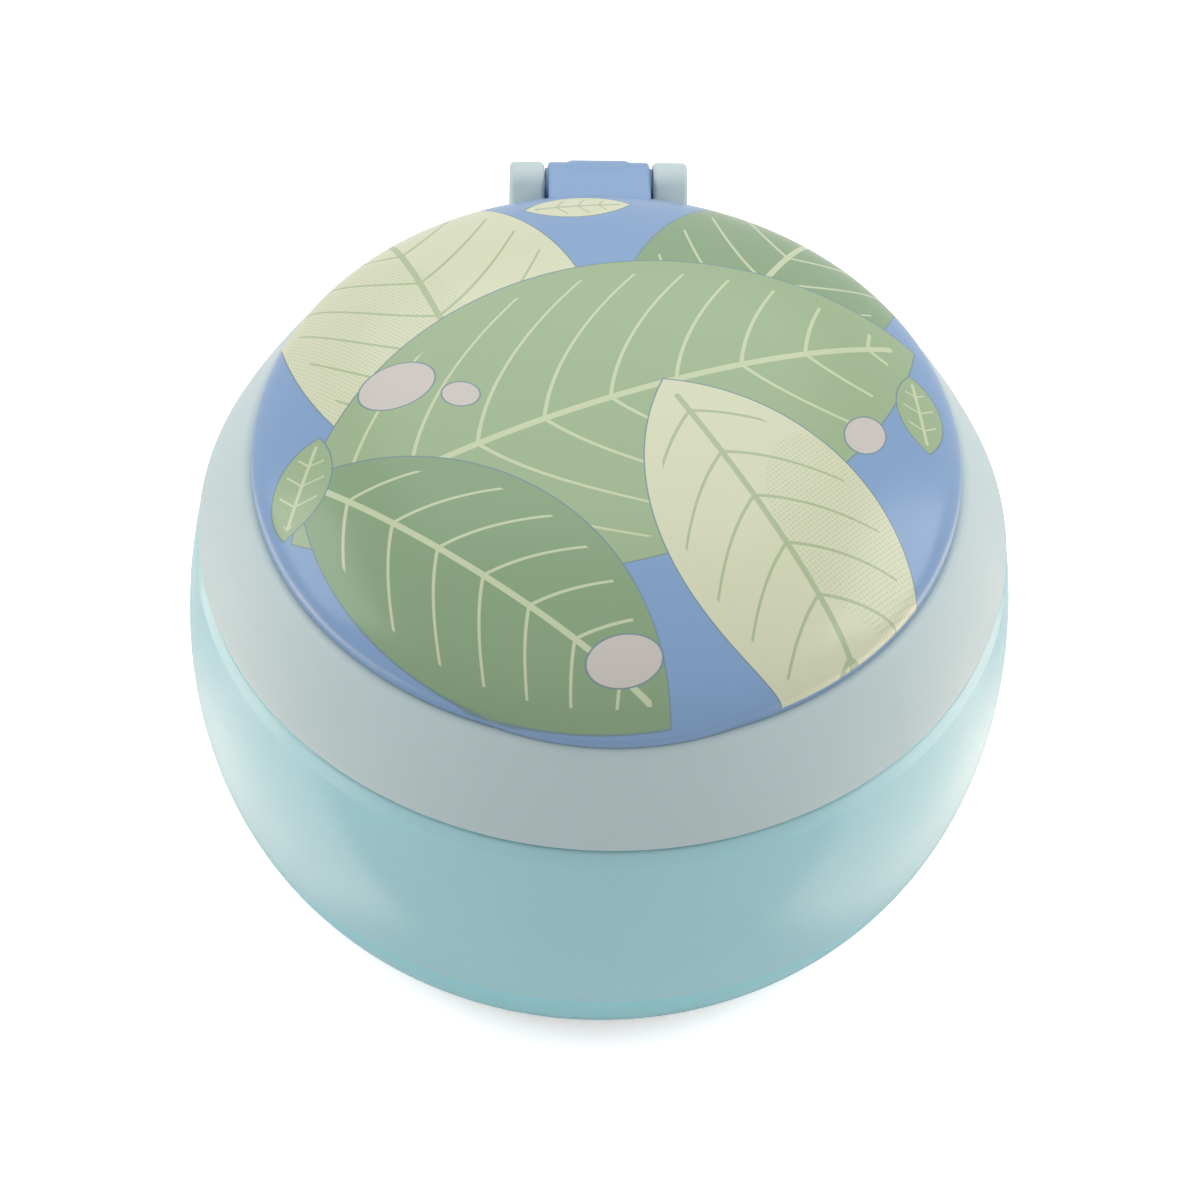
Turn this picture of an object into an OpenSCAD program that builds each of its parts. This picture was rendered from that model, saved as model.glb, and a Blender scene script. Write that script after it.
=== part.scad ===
// Flip-lid snack cup for a toddler: a bulging bowl, a collar that screws onto its neck,
// a soft star of flaps in the collar's mouth, and a domed lid on a pin hinge.
// Origin: centre of the foot, on the table. +Z is up, the hinge is at +Y, the lid opens from -Y.

/* [Bowl] */
// Widest radius of the bowl
belly_r = 50; // [46:0.5:56]
// Height of the widest point
belly_z = 30; // [22:0.5:34]
// Radius of the flat foot
foot_r = 36; // [30:0.5:40]
// How far the shoulder lies inside the widest radius
shoulder_in = 1.3; // [0.2:0.1:3]
// Height of the shoulder, where the bowl ends and the neck begins
shoulder_z = 44.5; // [40:0.5:56]
// Rounding of the shoulder's edge
shoulder_round = 1.4; // [0.5:0.1:3]
// Wall thickness of the bowl
bowl_wall = 1.8; // [1.2:0.1:3]
// Thickness of the bowl's floor
floor_t = 2.6; // [1.6:0.1:4]
// Depth of the hollow under the foot
foot_hollow = 0.7; // [0.3:0.1:1]
// Width of the ring that the bowl stands on
foot_ring = 4; // [2:0.5:8]

/* [Lug thread] */
// Number of thread ridges on the neck, and of lugs in the collar
thread_starts = 3; // [2:1:3]
// Rise of the collar in one full turn
thread_lead = 12; // [10:0.5:14]
// Length of each ridge round the neck, in degrees
ridge_arc = 80; // [50:5:90]
// Height of a ridge above the neck
ridge_h = 1.2; // [0.8:0.1:1.6]
// Thickness of a ridge and of a lug
ridge_t = 1.2; // [0.8:0.1:1.4]
// Length of each lug round the collar, in degrees
lug_arc = 16; // [8:1:20]
// Clearance between lug and ridge, and between ridge and skirt
thread_gap = 0.3; // [0.2:0.05:0.5]
// Distance from the top of the ridges to the neck's rim
ridge_down = 1.1; // [0.6:0.1:2]

/* [Collar] */
// How far the collar's lower edge stands proud of the shoulder
collar_proud = 0.3; // [0:0.1:1]
// Gap between the shoulder and the collar's lower edge
collar_gap = 0.5; // [0.3:0.1:1.5]
// Height of the collar from its lower edge to the lid's seat
collar_h = 12; // [11:0.5:18]
// Outward bulge of the collar's sloping wall
collar_bulge = 0.3; // [0:0.05:1]
// Wall thickness of the collar
collar_wall = 1.8; // [1.4:0.1:2.4]
// Thickness of the plate that the lid rests on
plate_t = 2; // [1.4:0.1:3]
// Wall of the inner skirt that holds the lugs
skirt_wall = 1.3; // [1:0.1:1.6]
// Height of the ring round the mouth, above the seat
upstand_h = 2.2; // [1.4:0.1:3]
// Wall of the ring round the mouth
upstand_wall = 1.4; // [1:0.1:2]
// Flat margin of the seat outside the lid
seat_margin = 0.75; // [0.4:0.05:2]

/* [Soft flaps] */
// Number of flaps
flap_count = 8; // [6:1:10]
// Thickness of the flaps and of the web they hang from
flap_t = 1.2; // [0.8:0.1:1.4]
// Width of the slit between two flaps
slit_w = 0.5; // [0.3:0.1:1]
// Width across the flats of the opening that the flaps close
flap_span = 54; // [44:1:56]
// Radius of the hole where the slits meet
star_hole_r = 1.6; // [1:0.1:3]
// Running gap at the root of each flap
root_gap = 0.05; // [0.03:0.01:0.1]
// Thickness of the flange clamped under the collar
flange_t = 1.8; // [1.2:0.1:2.4]
// Wall of the tube that fills the mouth
tube_wall = 1.4; // [1:0.1:2]
// How far the web lies below the tube's top edge
web_down = 2; // [1.4:0.1:3]
// Clearance between the soft ring and what it seats in
soft_gap = 0.1; // [0.05:0.05:0.3]

/* [Lid] */
// Outer radius of the lid's rim
lid_r = 42.2; // [40:0.1:43.5]
// Wall thickness of the lid
lid_wall = 1.8; // [1.4:0.1:2.4]
// Height of the rim's upright edge
rim_h = 0.9; // [0.8:0.1:3]
// Height of the crown above the rim
crown_h = 12; // [8:0.5:16]
// Squareness of the crown: 1 is an ellipse, more is nearer to a cone
crown_shape = 1.2; // [1:0.05:1.4]
// Gap between the lid's rim and its seat
lid_gap = 0.4; // [0.3:0.05:1]
// Width of the thumb lip at the front of the lid
thumb_w = 28; // [16:1:36]
// How far the thumb lip stands out
thumb_out = 0.7; // [0.3:0.05:1]
// Height over which the thumb lip fades into the crown
thumb_fade = 1.2; // [0.8:0.1:2]
// Wall of the ring inside the lid that fits over the mouth's ring
lock_wall = 1.3; // [1:0.1:2]
// Clearance between the lid's inner ring and the mouth's ring
lock_gap = 0.45; // [0.4:0.05:0.8]
// Height of the snap bead on the mouth's ring
bead_h = 0.2; // [0.1:0.05:0.25]
// Thickness of the printed film on the crown
film_t = 0.25; // [0.2:0.05:0.4]
// Height of the film's edge above the rim's lower edge
film_up = 0.6; // [0.4:0.1:3]

/* [Hinge] */
// Radius of the hinge's barrel
barrel_r = 3.2; // [2.8:0.1:3.6]
// How far the barrel's axis lies outside the lid's rim
hinge_back = 4.3; // [4:0.05:5]
// How far the barrel's axis lies below the lid's lower edge
hinge_drop = 1.4; // [1:0.1:3]
// Width of the lid's knuckle
knuckle_w = 12.6; // [9:0.1:16]
// Width of each ear on the collar
ear_w = 4.3; // [3:0.1:6]
// Side gap between knuckle and ear
ear_gap = 0.4; // [0.3:0.05:0.8]
// Radius of the hinge pin
pin_r = 1.2; // [0.9:0.05:1.4]
// Running clearance of the knuckle on the pin
pin_gap = 0.06; // [0.04:0.01:0.1]
// Clearance round the knuckle in the collar's pocket
pocket_gap = 0.35; // [0.3:0.05:0.6]
// Width of the stop pad on the knuckle
stop_w = 7; // [4:0.5:9]
// Height of the stop pad above the knuckle
stop_h = 0.3; // [0.2:0.05:0.4]

/* [Hidden] */
$fn = 96;
eps = 0.01;
curve_steps = 20;
corner_steps = 4;

// bowl
shoulder_r = belly_r - shoulder_in;
inside_z = shoulder_z - bowl_wall;
inside_round = 0.8;
wall_steps = 6;

// collar, from the outside in and from the seat down
collar_r = shoulder_r + collar_proud;
collar_z = shoulder_z + collar_gap;
seat_z = collar_z + collar_h;
seat_r = lid_r + seat_margin;
edge_round = 0.6;
bead_down = 1.2;
bead_slope = 0.35;
wall_tilt = atan((collar_r - seat_r) / collar_h);

// neck and thread
neck_in = 1.85;
neck_r = lid_r - neck_in;
neck_wall = 1.7;
lip_bevel = 0.4;
flange_z = seat_z - plate_t - flange_t - soft_gap;
neck_top = flange_z - soft_gap;
skirt_r = neck_r + ridge_h + thread_gap;
ridge_flank = 0.25;
ridge_steps = 16;
ridge_z = neck_top - ridge_down - thread_lead * ridge_arc / 360 - ridge_t;
lug_start = 2;
lug_bevel = 0.2;
lug_top = ridge_z + thread_lead * lug_start / 360 - thread_gap / 2;
lug_z = lug_top - ridge_t;
skirt_below = 0.6;
skirt_z = lug_z - skirt_below;

// mouth, soft ring and flaps
flange_w = 4;
flange_r = neck_r;
mouth_r = flange_r - flange_w;
upstand_r = mouth_r + upstand_wall;
tube_r = mouth_r - soft_gap;
tube_top = seat_z + upstand_h - soft_gap;
web_top = tube_top - web_down;
root_z = web_top - flap_t / 2;
root_r = flap_span / 2;
flap_angle = 360 / flap_count;

// lid
rim_z = seat_z + lid_gap;
lock_r = upstand_r + lock_gap;
crown_z = rim_z + rim_h;
lid_top = crown_z + crown_h;
thumb_y = sqrt(pow(lid_r, 2) - pow(thumb_w / 2, 2));
thumb_sag = lid_r + thumb_out - thumb_y;
thumb_r = (pow(thumb_w / 2, 2) + pow(thumb_sag, 2)) / (2 * thumb_sag);

// hinge
axis_y = lid_r + hinge_back;
axis_z = rim_z - hinge_drop;
pocket_w = knuckle_w + 2 * ear_gap;
hinge_w = pocket_w + 2 * ear_w;
barrel_round = 0.6;
pin_inset = 0.6;
arm_h = 2.6;
arm_margin = 0.3;
arm_front = axis_y - barrel_r * 0.6;
backing_down = 3;
foot_down = 3.4;
foot_in = 2.2;
ear_front = 45;
ear_back = 15;

bowl_colour = [0.57, 0.74, 0.77];
collar_colour = [0.70, 0.76, 0.76];
lid_colour = [0.53, 0.63, 0.80];
film_colour = [0.60, 0.69, 0.54];
soft_colour = [0.87, 0.89, 0.78];
pin_colour = [0.80, 0.81, 0.83];

// ---- shapes that repeat ----

// Points of an arc about centre c, from angle a to angle b
function arc(c, r, a, b, n = curve_steps) =
    [for (i = [0:n]) let (t = a + (b - a) * i / n) [c[0] + r * cos(t), c[1] + r * sin(t)]];

// The same list from its end to its start
function reversed(list) = [for (i = [len(list) - 1:-1:0]) list[i]];

// The bowl's side, a quarter ellipse from the foot to the belly, set in by a wall
function bowl_side(wall, low) =
    [for (i = [0:curve_steps]) let (t = 90 * i / curve_steps)
        [foot_r + (belly_r - wall - foot_r) * sin(t), low + (belly_z - low) * (1 - cos(t))]];

// Radius of the bowl between its belly and its shoulder
function upper_r(z) = belly_r - shoulder_in * pow((z - belly_z) / (shoulder_z - belly_z), 2);

// The bowl's wall from the belly up to height top, set in by a wall
function bowl_top(wall, top) =
    [for (i = [1:wall_steps]) let (z = belly_z + (top - belly_z) * i / wall_steps) [upper_r(z) - wall, z]];

// Radius of the collar's outer wall at height z
function collar_wall_r(z) =
    let (t = (z - collar_z) / collar_h)
    collar_r + (seat_r - collar_r) * t + 4 * collar_bulge * t * (1 - t);

// The collar's outer wall from height low to height high, set in by a wall
function collar_side(wall, low, high) =
    [for (i = [0:wall_steps]) let (z = low + (high - low) * i / wall_steps)
        [collar_wall_r(z) - wall, z]];

// The rounded corner between the collar's wall and its seat (up = 1) or lower face (up = -1)
function wall_corner(r, z, up) =
    let (c = [r - edge_round * (1 - up * sin(wall_tilt)) / cos(wall_tilt), z - up * edge_round])
    arc(c, edge_round, up > 0 ? wall_tilt : -90, up > 0 ? 90 : wall_tilt, corner_steps);

// The lid's outline from height low to its top, set in by a wall
function dome(wall, low) = concat(
    [[lid_r - wall, low]],
    [for (i = [0:curve_steps]) let (t = 90 * i / curve_steps)
        [(lid_r - wall) * cos(t), crown_z + (crown_h - wall) * pow(sin(t), crown_shape)]]);

// The solid under that outline
module dome_solid(wall, low) {
    turned(concat([[0, low]], dome(wall, low)));
}

// The same solid with the thumb lip: a tighter curve that bulges out of the front of the rim
module crown_solid(wall, low) {
    lip_r = thumb_r - wall;
    dome_solid(wall, low);
    translate([0, thumb_r - lid_r - thumb_out, 0])
        turned([[0, low], [lip_r, low], [lip_r, crown_z], [lip_r - thumb_fade, crown_z + thumb_fade],
            [0, crown_z + thumb_fade]]);
}

// A ring whose section runs over the given points
module turned(points, angle = 360) {
    rotate_extrude(angle = angle) polygon(points);
}

// A plain ring from height z, h tall
module ring(outer, inner, z, h) {
    translate([0, 0, z]) difference() {
        cylinder(r = outer, h = h);
        translate([0, 0, -1]) cylinder(r = inner, h = h + 2);
    }
}

// A bar of round section along X, on the hinge's axis
module on_axis(r, w) {
    translate([-w / 2, axis_y, axis_z]) rotate([0, 90, 0]) cylinder(r = r, h = w);
}

// The same bar with rounded ends
module barrel(r, w) {
    e = min(barrel_round, w / 3);
    translate([-w / 2, axis_y, axis_z]) rotate([0, 90, 0])
        turned(concat([[0, 0]], arc([r - e, e], e, -90, 0, corner_steps),
            arc([r - e, w - e], e, 0, 90, corner_steps), [[0, w]]));
}

// One thread ridge: a blunt section swept up a helix round the neck
module ridge() {
    steps = ridge_steps;
    root = neck_r - neck_wall / 2;
    crest = neck_r + ridge_h;
    section = [[root, -ridge_flank], [crest, ridge_flank],
        [crest, ridge_t - ridge_flank], [root, ridge_t + ridge_flank]];
    points = [for (i = [0:steps], p = section)
        let (a = ridge_arc * i / steps, z = ridge_z + thread_lead * a / 360)
        [p[0] * cos(a), p[0] * sin(a), z + p[1]]];
    sides = [for (i = [0:steps - 1], j = [0:3])
        let (a = 4 * i + j, b = 4 * i + (j + 1) % 4)
        each [[a, b, a + 4], [b, b + 4, a + 4]]];
    last = 4 * steps;
    ends = [[0, 2, 1], [0, 3, 2], [last, last + 1, last + 2], [last, last + 2, last + 3]];
    polyhedron(points = points, faces = concat(sides, ends));
}

// One lug inside the collar's skirt, lying under its ridge when the collar is closed
module lug() {
    crest = neck_r + thread_gap;
    rotate([0, 0, lug_start]) turned([[crest, lug_z + lug_bevel], [skirt_r + eps, lug_z],
        [skirt_r + skirt_wall / 2, lug_z], [skirt_r + skirt_wall / 2, lug_top],
        [skirt_r + eps, lug_top], [crest, lug_top - lug_bevel]], angle = lug_arc);
}

// ---- sub-parts ----

// The bowl with its neck and the thread ridges
module cup() {
    color(bowl_colour) {
        turned(concat(
            [[0, foot_hollow], [foot_r - foot_ring, foot_hollow], [foot_r - foot_ring, 0]],
            bowl_side(0, 0),
            bowl_top(0, shoulder_z - shoulder_round),
            arc([upper_r(shoulder_z) - shoulder_round, shoulder_z - shoulder_round],
                shoulder_round, 15, 90, corner_steps),
            [[neck_r, shoulder_z], [neck_r, neck_top - lip_bevel], [neck_r - lip_bevel, neck_top],
             [neck_r - neck_wall + lip_bevel, neck_top], [neck_r - neck_wall, neck_top - lip_bevel],
             [neck_r - neck_wall, inside_z]],
            reversed(concat(bowl_side(bowl_wall, floor_t), bowl_top(bowl_wall, inside_z - inside_round),
                arc([upper_r(inside_z) - bowl_wall - inside_round, inside_z - inside_round],
                    inside_round, 20, 90, corner_steps))),
            [[0, floor_t]]));
        for (i = [0:thread_starts - 1]) rotate([0, 0, i * 360 / thread_starts]) ridge();
    }
}

// The screw-on collar: sloping wall, seat plate, mouth ring, lug skirt and hinge ears
module collar() {
    color(collar_colour) {
        difference() {
            union() {
                turned(concat(
                    wall_corner(collar_r, collar_z, -1),
                    collar_side(0, collar_z + 2 * edge_round, seat_z - edge_round),
                    wall_corner(seat_r, seat_z, 1),
                    [[mouth_r, seat_z], [mouth_r, seat_z - plate_t]],
                    reversed(collar_side(collar_wall, collar_z, seat_z - plate_t))));
                ring(upstand_r, mouth_r, seat_z - plate_t / 2, plate_t / 2 + upstand_h);
                snap_bead();
                ring(skirt_r + skirt_wall, skirt_r, skirt_z, seat_z - plate_t / 2 - skirt_z);
                hinge_backing();
                ears();
            }
            on_axis(barrel_r + stop_h + pocket_gap, pocket_w);
            pin_hole(pin_r);
        }
        for (i = [0:thread_starts - 1]) rotate([0, 0, i * 360 / thread_starts]) lug();
    }
}

// The low bead round the mouth's ring that the lid snaps over
module snap_bead() {
    bead_z = seat_z + upstand_h - bead_down;
    turned([[upstand_r - eps, bead_z], [upstand_r + bead_h, bead_z + bead_slope],
        [upstand_r + bead_h, bead_z + 2 * bead_slope], [upstand_r - eps, bead_z + 3 * bead_slope]]);
}

// The thick patch inside the collar's wall that closes the knuckle's pocket
module hinge_backing() {
    low = axis_z - barrel_r - backing_down;
    high = seat_z - plate_t / 2;
    intersection() {
        translate([-hinge_w / 2, 0, low]) cube([hinge_w, axis_y, high - low]);
        turned(concat([[skirt_r + skirt_wall / 2, low], [skirt_r + skirt_wall / 2, high]],
            reversed(collar_side(collar_wall / 2, low, high))));
    }
}

// Two ears that carry the pin, each a barrel on a foot that runs into the collar
module ears() {
    foot_z = axis_z - barrel_r - foot_down;
    foot_y = axis_y - barrel_r - foot_in;
    back = barrel_r * cos(ear_back);
    front = barrel_r * cos(ear_front);
    difference() {
        for (side = [-1, 1]) translate([side * (pocket_w + ear_w) / 2, 0, 0]) {
            barrel(barrel_r, ear_w);
            translate([-ear_w / 2, 0, 0]) rotate([90, 0, 90]) linear_extrude(height = ear_w)
                polygon([[foot_y, seat_z - edge_round], [seat_r - edge_round, seat_z - edge_round / 4],
                    [axis_y - front, axis_z + barrel_r * sin(ear_front)],
                    [axis_y + back, axis_z - barrel_r * sin(ear_back)],
                    [collar_wall_r(foot_z) - collar_wall / 2, foot_z], [foot_y, foot_z]]);
        }
        cylinder(r = skirt_r + skirt_wall / 2, h = seat_z - plate_t / 2);
    }
}

// The pin's hole, through both ears and the knuckle
module pin_hole(r) {
    on_axis(r, hinge_w - 2 * pin_inset);
}

// The soft ring: clamped flange, tube that lines the mouth, and web round the flaps
module flap_ring() {
    color(soft_colour) {
        ring(flange_r, tube_r - tube_wall, flange_z, flange_t);
        turned([[tube_r - tube_wall, flange_z + eps], [tube_r, flange_z + eps],
            [tube_r, tube_top - lip_bevel], [tube_r - lip_bevel, tube_top],
            [tube_r - tube_wall + lip_bevel, tube_top], [tube_r - tube_wall, tube_top - lip_bevel]]);
        difference() {
            translate([0, 0, web_top - flap_t]) cylinder(r = tube_r - tube_wall / 2, h = flap_t);
            translate([0, 0, web_top - flap_t - 1]) rotate([0, 0, flap_angle / 2])
                cylinder(r = (root_r + flap_t / 2 + root_gap) / cos(flap_angle / 2),
                    h = flap_t + 2, $fn = flap_count);
        }
    }
}

// Flap number i, a wedge whose rounded root turns against the web
module flap(i) {
    half = root_r * tan(flap_angle / 2) - slit_w / 2 / cos(flap_angle / 2);
    color(soft_colour) rotate([0, 0, (i - 1) * flap_angle]) {
        difference() {
            translate([0, 0, root_z - flap_t / 2]) linear_extrude(height = flap_t)
                polygon([[root_r, -half], [root_r, half], [slit_w / 2 / sin(flap_angle / 2), 0]]);
            translate([0, 0, root_z - flap_t]) cylinder(r = star_hole_r, h = 2 * flap_t);
        }
        translate([root_r, 0, root_z]) rotate([90, 0, 0])
            cylinder(r = flap_t / 2, h = 2 * half, center = true);
    }
}

// The domed lid with its inner ring and hinge knuckle
module lid() {
    color(lid_colour) difference() {
        union() {
            difference() {
                crown_solid(0, rim_z);
                dome_solid(lid_wall, rim_z - 1);
                film_space();
            }
            lock_ring();
            knuckle();
        }
        on_axis(pin_r + pin_gap, knuckle_w + 1);
    }
}

// The ring under the crown that fits over the mouth's ring
module lock_ring() {
    intersection() {
        ring(lock_r + lock_wall, lock_r, rim_z, lid_top - rim_z);
        dome_solid(lid_wall / 2, rim_z);
    }
}

// The hollow in the crown that the printed film fills, cut round the hinge's arm
module film_space() {
    difference() {
        crown_solid(0, rim_z + film_up);
        crown_solid(film_t, rim_z);
        translate([-knuckle_w / 2, 0, rim_z]) cube([knuckle_w, lid_r + 1, arm_h + arm_margin]);
    }
}

// The knuckle and the arm that joins it to the lid's rim
module knuckle() {
    arm_w = knuckle_w - barrel_round;
    arm_top = rim_z + arm_h;
    barrel(barrel_r, knuckle_w);
    barrel(barrel_r + stop_h, stop_w);
    difference() {
        translate([-arm_w / 2, 0, 0]) rotate([90, 0, 90]) linear_extrude(height = arm_w)
            polygon([[arm_front, axis_z], [axis_y, axis_z], [axis_y, axis_z + barrel_r],
                [arm_front, arm_top], [lid_r - lid_wall, arm_top], [lid_r - lid_wall, rim_z],
                [arm_front, rim_z]]);
        dome_solid(lid_wall / 2, rim_z - 1);
    }
}

// The printed film, flush with the crown
module lid_film() {
    color(film_colour) film_space();
}

// The hinge pin
module hinge_pin() {
    color(pin_colour) pin_hole(pin_r);
}

cup();
collar();
flap_ring();
for (i = [1:flap_count]) flap(i);
lid();
lid_film();
hinge_pin();
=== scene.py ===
"""Flip-lid snack cup: looks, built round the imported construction.

Outlines are in millimetres, as (radius, height) or (y, z); meshes are in metres.
+Z is up, the hinge is at +Y and the lid opens from -Y.
"""

import math

import bmesh
import bpy
from mathutils import Matrix, Vector


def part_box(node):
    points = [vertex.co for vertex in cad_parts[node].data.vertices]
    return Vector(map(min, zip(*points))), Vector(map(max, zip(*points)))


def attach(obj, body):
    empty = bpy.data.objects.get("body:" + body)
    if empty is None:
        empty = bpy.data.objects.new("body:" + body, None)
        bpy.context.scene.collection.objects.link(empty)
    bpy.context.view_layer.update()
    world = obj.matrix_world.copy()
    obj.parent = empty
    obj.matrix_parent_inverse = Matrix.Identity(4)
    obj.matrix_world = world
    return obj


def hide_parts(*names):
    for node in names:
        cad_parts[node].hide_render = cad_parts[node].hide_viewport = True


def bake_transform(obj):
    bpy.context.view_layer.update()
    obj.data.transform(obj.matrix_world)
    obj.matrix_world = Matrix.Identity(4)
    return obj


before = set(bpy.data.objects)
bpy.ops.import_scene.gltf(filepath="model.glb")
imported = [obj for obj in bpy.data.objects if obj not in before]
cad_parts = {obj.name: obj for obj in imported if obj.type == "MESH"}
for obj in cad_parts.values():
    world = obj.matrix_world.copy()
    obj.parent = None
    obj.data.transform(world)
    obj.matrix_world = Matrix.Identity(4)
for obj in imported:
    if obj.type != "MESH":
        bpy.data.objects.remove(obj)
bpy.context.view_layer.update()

# ---------------------------------------------------------------- sizes, in millimetres and degrees

MM = 0.001


def reach(node, axis, high=True):
    """How far a node reaches along an axis, in millimetres."""
    return round(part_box(node)[1 if high else 0][axis] / MM, 3)


# roundings of the mouldings' edges
FINE_EDGE = 0.2
SMALL_EDGE = 0.3
EDGE = 0.4
ROUND_EDGE = 0.5

# bowl: a crease runs round its side just under the shoulder, with a narrow sloping strip above it
BELLY_R = reach("cup", 0)
BELLY_Z = 30.0
FOOT_R = 36.0
FOOT_RING = 4.0
FOOT_HOLLOW = 0.7
FOOT_FLAT = 1.0
SHOULDER_IN = 1.3
COLLAR_GAP = 0.5
SHOULDER_Z = reach("collar", 2, False) - COLLAR_GAP
CREASE_DOWN = 1.9
CREASE_Z = SHOULDER_Z - CREASE_DOWN
CREASE_START = 0.6
CREASE_EDGE = 0.9
STRIP_IN = 0.75
BOWL_WALL = 1.8
INSIDE_START = 1.2
INSIDE_EDGE = 1.1
NECK_FOOT_EDGE = 0.6
FLOOR_T = 2.6
# top of the band over the foot, where the bowl looks deeper, and half the height of its soft edge
BAND_Z = 14.8
BAND_SOFT = 0.3

# lid
LID_R = reach("lid", 0)
LID_WALL = 1.8
LID_TOP = reach("lid_film", 2)
FILM_T = 0.25
FILM_GAP = 0.02
FILM_Z = reach("lid_film", 2, False)
FILM_UP = 0.6
RIM_Z = FILM_Z - FILM_UP
RIM_H = 0.9
CROWN_Z = RIM_Z + RIM_H
RIM_DOWN = 0.25
RIM_EDGE = 0.25
LEDGE_EDGE = 0.03
CROWN_H = LID_TOP - CROWN_Z
CROWN_SHAPE = 1.2
THUMB_W = 28.0
THUMB_OUT = 0.7
THUMB_FADE = 1.2
THUMB_START = 0.1

# neck and lug thread
NECK_R = LID_R - 1.85
NECK_WALL = 1.7
NECK_TOP = reach("cup", 2)
THREAD_STARTS = 3
THREAD_LEAD = 12.0
RIDGE_ARC = 80.0
RIDGE_H = 1.2
RIDGE_T = 1.2
RIDGE_DRAFT = 0.25
RIDGE_STEPS = 40
RUN_OUT = 0.04
RUN_OUT_LEFT = 0.25
RIDGE_DOWN = 1.1
RIDGE_Z = NECK_TOP - RIDGE_DOWN - THREAD_LEAD * RIDGE_ARC / 360 - RIDGE_T
THREAD_GAP = 0.3
LUG_ARC = 16.0
LUG_START = 2.0
LUG_STEPS = 12
LUG_EDGE = 0.25
LUG_TOP = RIDGE_Z + THREAD_LEAD * LUG_START / 360 - THREAD_GAP / 2

# collar
COLLAR_Z = reach("collar", 2, False)
SEAT_Z = RIM_Z - 0.4
COLLAR_H = SEAT_Z - COLLAR_Z
COLLAR_R = BELLY_R - SHOULDER_IN + 0.3
COLLAR_BULGE = 0.3
COLLAR_WALL = 1.8
COLLAR_EDGE = 0.7
# how far the points of its walls stop short of its corners, to leave room for their rounding
OUTER_START = 1.6
OUTER_END = 0.9
INNER_START = 0.8
INNER_END = 0.6
SKIRT_CLEAR = 0.05
SKIRT_MEET = 0.1
SEAT_EDGE = 1.4
SEAT_R = LID_R + 0.75
PLATE_T = 2.0
SKIRT_R = NECK_R + RIDGE_H + THREAD_GAP
SKIRT_WALL = 1.3
SKIRT_Z = LUG_TOP - RIDGE_T - 0.6
MOUTH_R = NECK_R - 4.0
UPSTAND_R = MOUTH_R + 1.4
UPSTAND_TOP = SEAT_Z + 2.2
BEAD_H = 0.2
BEAD_DOWN = 1.2
BEAD_STEP = 0.35
BEAD_EDGE = 0.15
BEAD_TOP_EDGE = 0.14
LOCK_R = UPSTAND_R + 0.45
LOCK_WALL = 1.3
LOCK_FADE = 2.0
LOCK_CLEAR = 0.2

# soft ring and flaps
SOFT_GAP = 0.1
FLANGE_R = NECK_R
FLANGE_Z = reach("flap_ring", 2, False)
FLANGE_T = 1.8
TUBE_R = MOUTH_R - SOFT_GAP
TUBE_WALL = 1.4
TUBE_TOP = reach("flap_ring", 2)
FLAP_T = 1.2
WEB_TOP = TUBE_TOP - 2.0
ROOT_R = 27.0
WEB_EDGE = 0.8
WEB_OVERLAP = 0.5
SLIT_W = 0.5
STAR_HOLE_R = 1.6
TIP_CUT = 0.4 * STAR_HOLE_R
TIP_HALF_W = 0.05
FLAP_EDGE = 0.35
FLAP_EDGE_SHARE = 0.06
FLAP_DISH = 0.12
FLAPS = sorted(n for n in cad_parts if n.startswith("flap_") and n != "flap_ring")

# hinge
PIN_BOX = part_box("hinge_pin")
AXIS_Y = (PIN_BOX[0].y + PIN_BOX[1].y) / 2 / MM
AXIS_Z = (PIN_BOX[0].z + PIN_BOX[1].z) / 2 / MM
PIN_R = (PIN_BOX[1].z - PIN_BOX[0].z) / 2 / MM
PIN_HALF = PIN_BOX[1].x / MM
PIN_GAP = 0.06
BARREL_R = 3.2
KNUCKLE_W = 12.6
EAR_GAP = 0.4
EAR_W = 4.3
POCKET_W = KNUCKLE_W + 2 * EAR_GAP
POCKET_GAP = 0.35
STOP_W = 6.6
STOP_H = 0.3
STOP_RAMP = 1.0
STOP_TURN = 8.0
STOP_SINK = 0.05
HUB_R = 2.5
HUB_OUT = 0.3
HUB_EDGE = 0.1
PIN_EDGE = 0.25
STOP_EDGE = 0.6
ARM_H = 2.6
ARM_GAP = 0.3
FOOT_DOWN = 3.4
FOOT_IN = 2.2
BACKING_DOWN = 3.0
EAR_EDGE = 0.6
EAR_START = 135
EAR_END = -15
# the ear's toe on the seat's edge, and the start of its outline under the seat
TOE_IN = 0.5
TOE_DOWN = 0.15
TUCK_DOWN = 0.6

# a tool shape that only cuts: its rounding, how far it goes past what it cuts, and its outer radius
CUT_EDGE = 0.01
CUT_PAST = 1.0
CUT_FAR = BELLY_R + 10

TURN_STEPS = 256
BAR_STEPS = 96
# a turned outline's point nearer than this is on the axis
ON_AXIS = 1e-6


# ---------------------------------------------------------------- outlines

def arc(centre, r, start, end, steps):
    """Points of an arc, from angle start to angle end in degrees."""
    turns = [math.radians(start + (end - start) * i / steps) for i in range(steps + 1)]
    return [(centre[0] + r * math.cos(t), centre[1] + r * math.sin(t)) for t in turns]


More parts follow.
